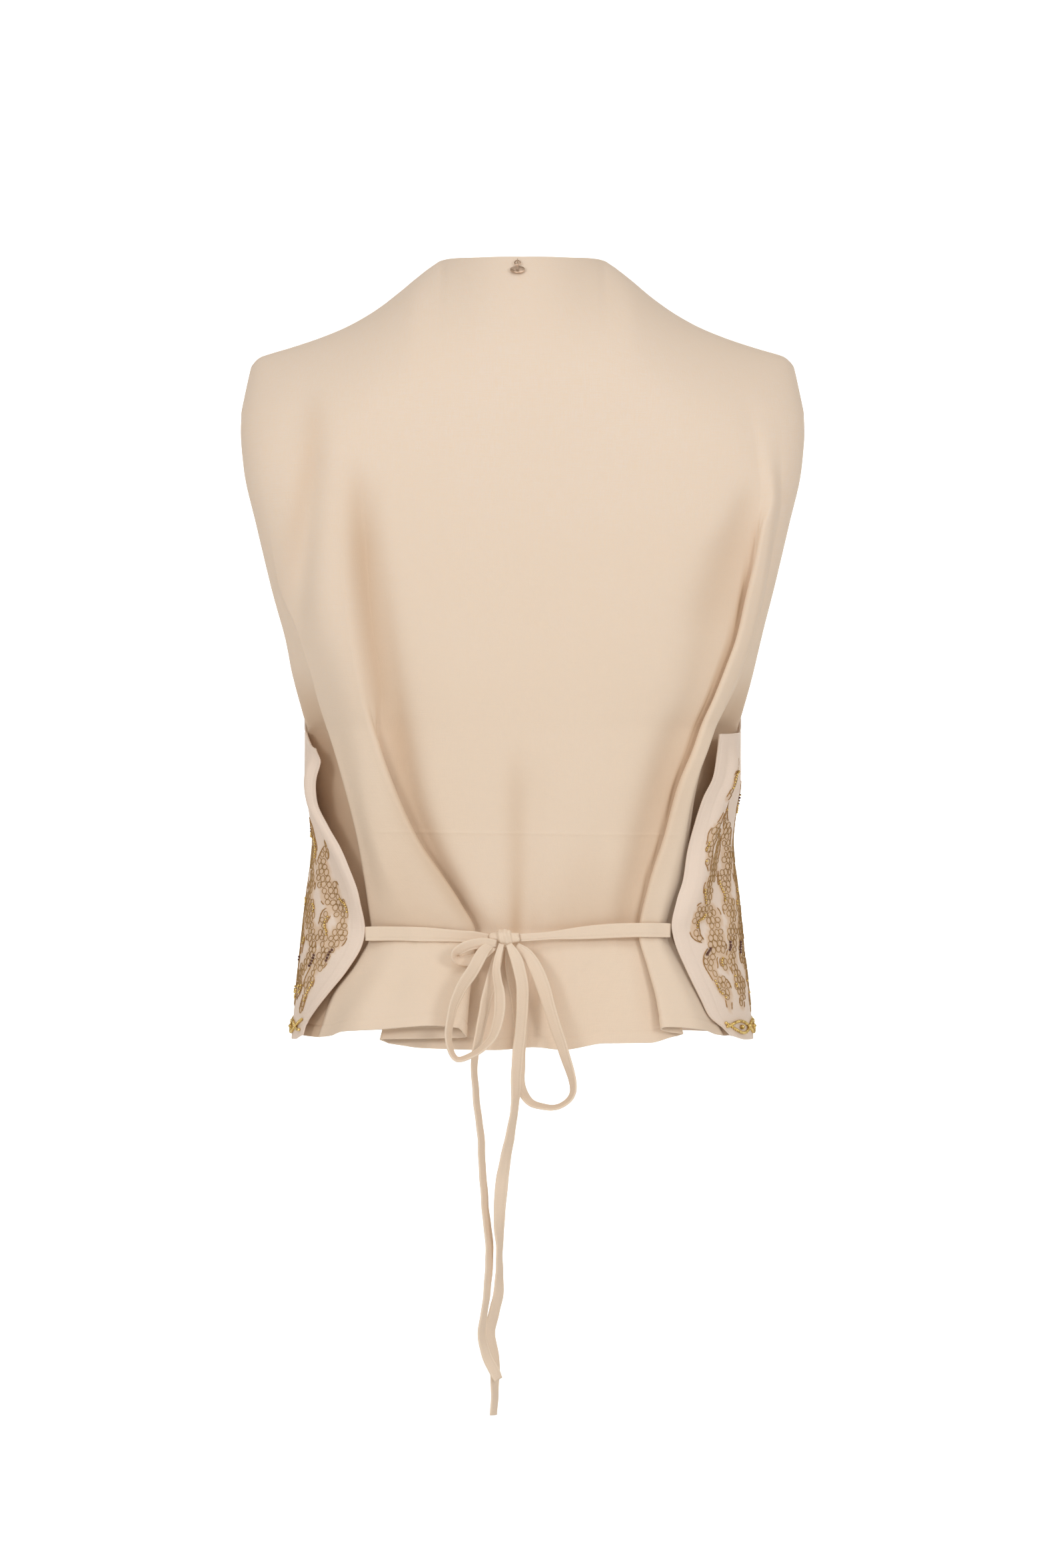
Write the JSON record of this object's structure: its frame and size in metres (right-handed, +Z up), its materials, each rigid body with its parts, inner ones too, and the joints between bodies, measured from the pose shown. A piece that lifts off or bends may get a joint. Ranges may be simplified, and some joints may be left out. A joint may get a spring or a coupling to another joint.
{
  "type": "embroidered waistcoat, worn, tied at the back",
  "caption": "Sleeveless cream waistcoat in its worn, hollow form: pleated plain back, embroidered fronts wrapped into back flaps, and a bow tied over the back.",
  "frame": {"origin": "midpoint between the shoulders, where the wearer holds the garment up", "axes": "+X towards the wearer's right, +Y towards the wearer's front, +Z up"},
  "size_m": [0.4032, 0.2511, 0.8196],
  "materials": {
    "cream_crepe": "matte crepe weave with a soft sheen",
    "embroidered_crepe": "the same crepe with tan and gold thread embroidery and small metal beads",
    "antique_brass": "aged rose-toned brass, worn bright on its edges",
    "cotton_thread": "twisted thread"
  },
  "bodies": {
    "garment": {"back": "cream_crepe", "front_left": "embroidered_crepe", "front_right": "embroidered_crepe", "tie_left_waist": "cream_crepe", "tie_right_waist": "cream_crepe", "tie_left_loop": "cream_crepe", "tie_right_loop": "cream_crepe", "tie_left_end": "cream_crepe", "tie_right_end": "cream_crepe", "tie_knot": "cream_crepe", "charm_thread_loop": "cotton_thread"},
    "charm_ring": {"charm_ring": "antique_brass"},
    "charm_medallion": {"charm_medallion": "antique_brass"}
  },
  "joints": [
    {"name": "ring_lift", "type": "hinge", "parent": "garment", "child": "charm_ring", "pos_m": [-0.0035, -0.06266, 0.04664], "axis": [-1, 0, 0], "range_deg": [0, 90]},
    {"name": "medallion_lift", "type": "hinge", "parent": "charm_ring", "child": "charm_medallion", "pos_m": [-0.0035, -0.06495, 0.04336], "axis": [-1, 0, 0], "range_deg": [0, 80]}
  ]
}
